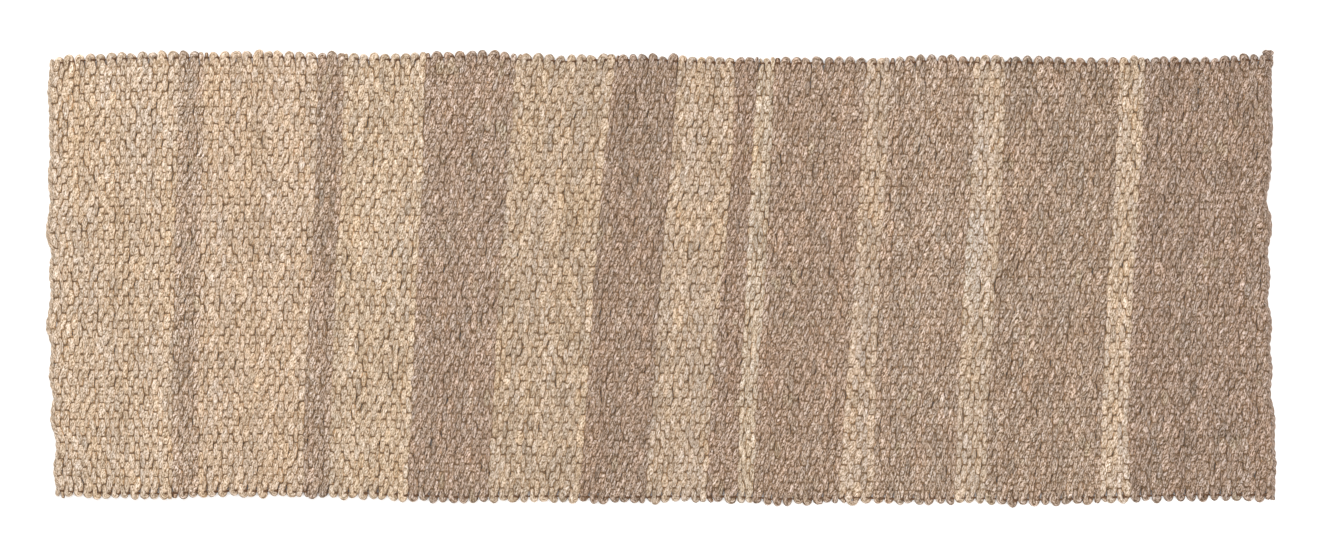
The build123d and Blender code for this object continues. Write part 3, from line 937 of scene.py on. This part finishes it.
# the knot: a yarn end in a small overhand knot, lying against the corner
u = np.linspace(0, 2 * math.pi, 64, endpoint=False)
knot = np.stack([
    1061.5 + 4.3 * (np.sin(u) + 1.9 * np.sin(2 * u)) * 0.62,
    391.0 + 3.1 * (np.cos(u) - 1.9 * np.cos(2 * u)) * 0.62,
    MID_Z + 0.2 + 2.0 * np.sin(3 * u)], 1)
tail_a = knot[0] + np.array([[-1.0, -13.0, -1.6], [-1.2, -6.0, -0.8]])
obj = cord_piece("corner_knot", [np.concatenate([tail_a, knot[:60]])], [2.9], 10,
                 srgb(*STRIPE_RGB[17]) * GAIN["brown"], 24.0, lobe=0.06)
finish_piece(obj, BROWN, ["corner_knot"], "right_half")

# ---------------------------------------------------------------------------
# floor, light, camera
# ---------------------------------------------------------------------------
scene = bpy.context.scene
bpy.ops.mesh.primitive_plane_add(size=14.0, location=(0, 0, -0.0004))
floor = bpy.context.object
floor.name = "floor"
paint = bpy.data.materials.new("floor_paint")
paint.use_nodes = True
pb = paint.node_tree.nodes["Principled BSDF"]
pb.inputs["Base Color"].default_value = (0.98, 0.98, 0.98, 1)
pb.inputs["Roughness"].default_value = 0.9
pb.inputs["Specular IOR Level"].default_value = 0.1
# painted light: the floor glows a little outside the rug, which lifts the rug's shadow there, but not beneath the
# rug
pb.inputs["Emission Color"].default_value = (1, 1, 1, 1)
table = paint.node_tree
place = node(table, "ShaderNodeNewGeometry", -1100, -300)
apart = node(table, "ShaderNodeVectorMath", -900, -300, operation="ABSOLUTE")
table.links.new(place.outputs["Position"], apart.inputs[0])
axes = node(table, "ShaderNodeSeparateXYZ", -700, -300)
table.links.new(apart.outputs[0], axes.inputs[0])
past = []
for n_axis, reach in ((0, 1.050), (1, 0.373)):
    m = node(table, "ShaderNodeMapRange", -500, -300 - 250 * n_axis)
    m.inputs["From Min"].default_value = reach
    m.inputs["From Max"].default_value = reach + 0.010
    table.links.new(axes.outputs[n_axis], m.inputs["Value"])
    past.append(m)
either = node(table, "ShaderNodeMath", -300, -300, operation="MAXIMUM")
table.links.new(past[0].outputs[0], either.inputs[0])
table.links.new(past[1].outputs[0], either.inputs[1])
outside_glow = node(table, "ShaderNodeMath", -150, -300, operation="MULTIPLY")
outside_glow.inputs[1].default_value = 0.26
table.links.new(either.outputs[0], outside_glow.inputs[0])
table.links.new(outside_glow.outputs[0], pb.inputs["Emission Strength"])
floor.data.materials.append(paint)


def area_light(name, where, aim, size, power):
    data = bpy.data.lights.new(name, "AREA")
    data.shape = "RECTANGLE"
    data.size, data.size_y = size
    data.energy = power
    lamp = bpy.data.objects.new(name, data)
    lamp.location = where
    direction = np.array(aim, float) - np.array(where, float)
    from mathutils import Vector
    lamp.rotation_euler = Vector(direction).to_track_quat("-Z", "Y").to_euler()
    scene.collection.objects.link(lamp)
    return lamp


area_light("key", (-1.6, 3.4, 3.6), (0, 0, 0), (3.4, 2.2), 182.0)
area_light("fill", (2.2, -3.0, 3.4), (0, 0, 0), (3.5, 2.5), 128.0)

world = bpy.data.worlds.new("studio")
world.use_nodes = True
world.node_tree.nodes["Background"].inputs[0].default_value = (1.0, 0.982, 0.958, 1)
world.node_tree.nodes["Background"].inputs[1].default_value = 0.60
scene.world = world

scene.view_settings.view_transform = "Standard"
scene.view_settings.look = "None"

PX = 1.745 * MM
cam_data = bpy.data.cameras.new("camera")
cam_data.sensor_width = 36.0
cam_data.lens = 100.0
cam = bpy.data.objects.new("camera", cam_data)
cam.location = ((667 - 660.5) * PX + SHIFT_X * MM, (277.5 - 280) * PX, 0.012 + 1334 * PX * 100.0 / 36.0)
cam.rotation_euler = (0, 0, 0)
cam_data.clip_end = 60
scene.collection.objects.link(cam)
scene.camera = cam
